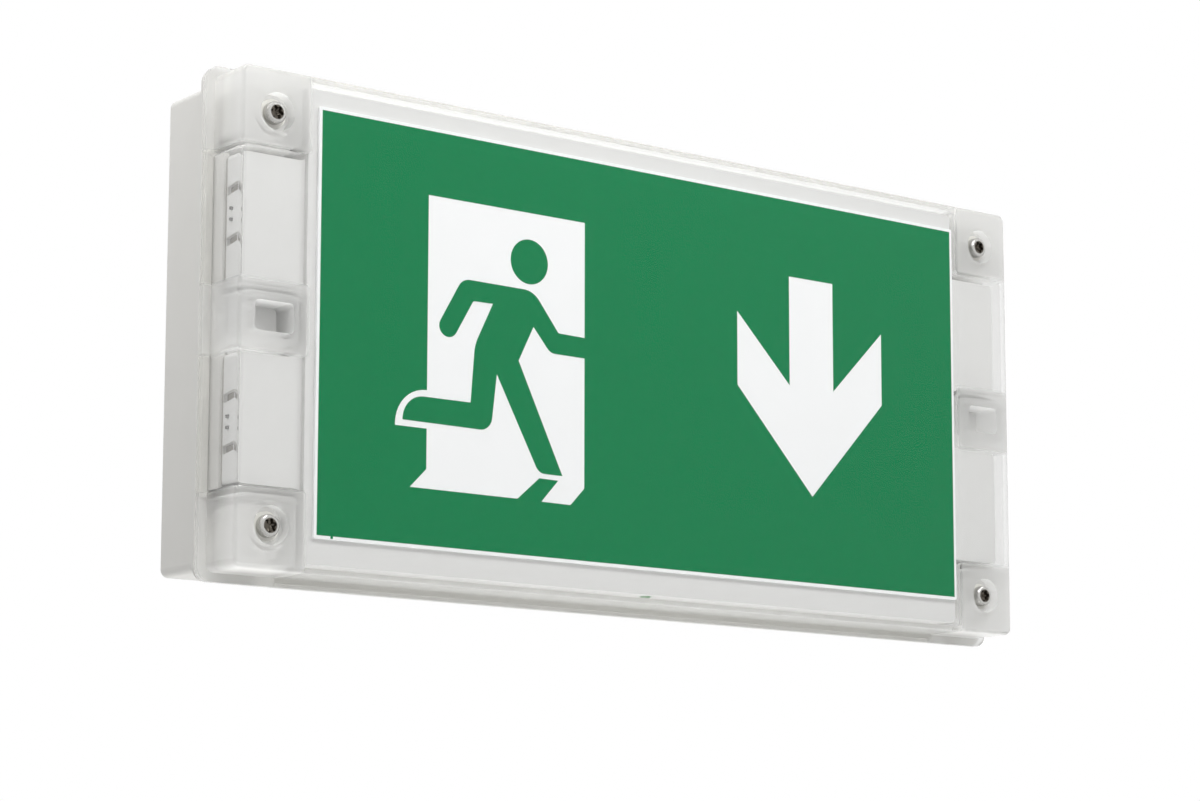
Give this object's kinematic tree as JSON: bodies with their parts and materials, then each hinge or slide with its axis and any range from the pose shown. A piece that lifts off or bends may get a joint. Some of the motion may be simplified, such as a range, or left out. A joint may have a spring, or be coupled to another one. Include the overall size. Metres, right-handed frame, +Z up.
{
  "type": "emergency exit light",
  "caption": "Wall-mounted rectangular emergency exit light with a clear screwed cover over a green running-figure sign with a down arrow.",
  "frame": {"origin": "middle of the housing's flat back, where it lies on the wall", "axes": "+X along the sign to the right as a viewer in front sees it, +Z up, +Y into the wall"},
  "size_m": [0.3702, 0.0542, 0.1816],
  "materials": {
    "board_green": "green solder mask",
    "can_sleeve": "shrunk sleeve on an aluminium can",
    "carrier_white": "smooth white moulding",
    "cell_sleeve": "blue shrunk sleeve",
    "cover_clear": "clear moulded polycarbonate",
    "ferrite_grey": "sintered ferrite",
    "film_yellow": "yellow box capacitor",
    "housing_white": "fine moulded satin",
    "insert_brass": "knurled brass",
    "lamp_board_white": "white solder mask",
    "lamp_phosphor": "yellow phosphor",
    "opal_sheet": "opal diffusing sheet",
    "part_black": "black moulding compound",
    "pin_metal": "tinned pins",
    "screw_steel": "stainless steel, socket heads",
    "seal_rubber": "soft moulded seal",
    "sign_print": "green print with white fields on clear-backed plate",
    "sink_aluminium": "extruded, plain",
    "small_screw_zinc": "zinc plated",
    "status_green": "tinted clear lens",
    "strap_black": "woven hook strap",
    "terminal_grey": "grey terminal moulding",
    "tray_white": "smooth white moulding",
    "winding_tape": "taped winding"
  },
  "bodies": {
    "root": {"back_housing": "housing_white", "battery_cradle": "tray_white", "battery_pack": "cell_sleeve", "battery_socket": "part_black", "battery_strap": "strap_black", "board_screws": "small_screw_zinc", "change_over_relay": "part_black", "clear_cover": "cover_clear", "control_chips": "part_black", "cover_gasket": "seal_rubber", "cover_screws": "screw_steel", "driver_board": "board_green", "entry_grommets": "seal_rubber", "film_capacitor": "film_yellow", "heat_sink": "sink_aluminium", "lamp_board_lower_left": "lamp_board_white", "lamp_board_lower_right": "lamp_board_white", "lamp_board_upper_left": "lamp_board_white", "lamp_board_upper_right": "lamp_board_white", "lamp_chips": "lamp_phosphor", "lamp_pins": "pin_metal", "lamp_socket": "part_black", "lamp_tray": "tray_white", "mains_choke": "part_black", "mains_fuse": "part_black", "mains_terminals": "terminal_grey", "opal_diffuser": "opal_sheet", "screw_washers": "seal_rubber", "sign_carrier": "carrier_white", "sign_plate": "sign_print", "smoothing_capacitors": "can_sleeve", "status_board": "board_green", "status_light": "status_green", "terminal_screws": "small_screw_zinc", "threaded_inserts": "insert_brass", "transformer_core": "ferrite_grey", "transformer_winding": "winding_tape", "tray_screws": "small_screw_zinc"}
  },
  "joints": []
}
